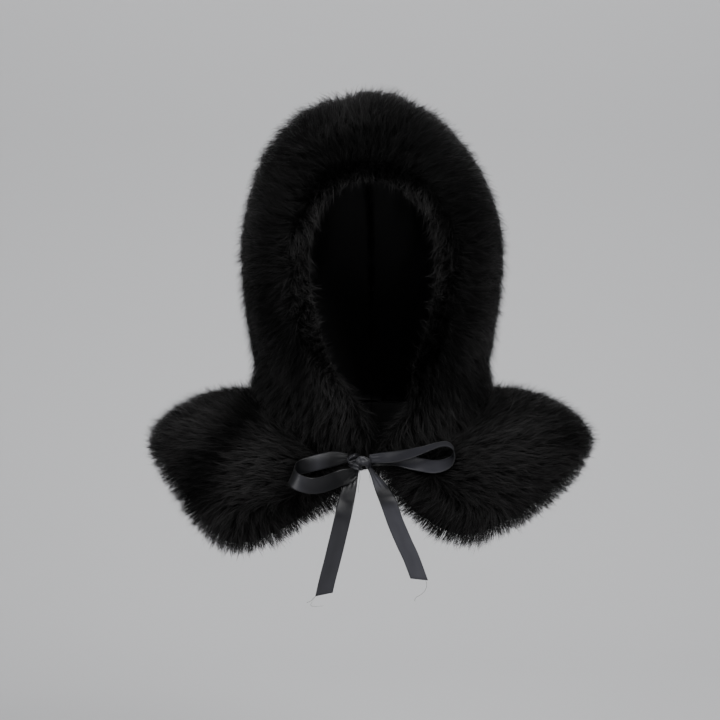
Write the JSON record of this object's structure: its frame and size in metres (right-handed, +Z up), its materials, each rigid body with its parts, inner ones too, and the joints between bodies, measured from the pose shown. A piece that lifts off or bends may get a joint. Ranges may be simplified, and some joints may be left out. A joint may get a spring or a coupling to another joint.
{
  "type": "hooded faux-fur capelet",
  "caption": "Short hooded capelet of long-pile faux fur, open hollow as worn, lined hood, rounded fronts, tied at the throat with a satin ribbon bow.",
  "frame": {"origin": "centre of the neck seam ring, where the wearer's neck carries the capelet", "axes": "+Z up, the front faces -Y, +X to the wearer's left"},
  "size_m": [0.4085, 0.2753, 0.4597],
  "materials": {
    "hood_fur": "long black faux-fur pile, soft sheen",
    "cape_fur": "long black faux-fur pile, soft sheen",
    "lining": "smooth black lining cloth",
    "ribbon": "charcoal satin"
  },
  "bodies": {
    "root": {"hood_left": "hood_fur", "hood_right": "hood_fur", "lining_left": "lining", "lining_right": "lining", "cape_left": "cape_fur", "cape_right": "cape_fur", "ribbon_knot": "ribbon", "ribbon_loop_left": "ribbon", "ribbon_loop_right": "ribbon", "ribbon_tail_left": "ribbon", "ribbon_tail_right": "ribbon"}
  },
  "joints": []
}
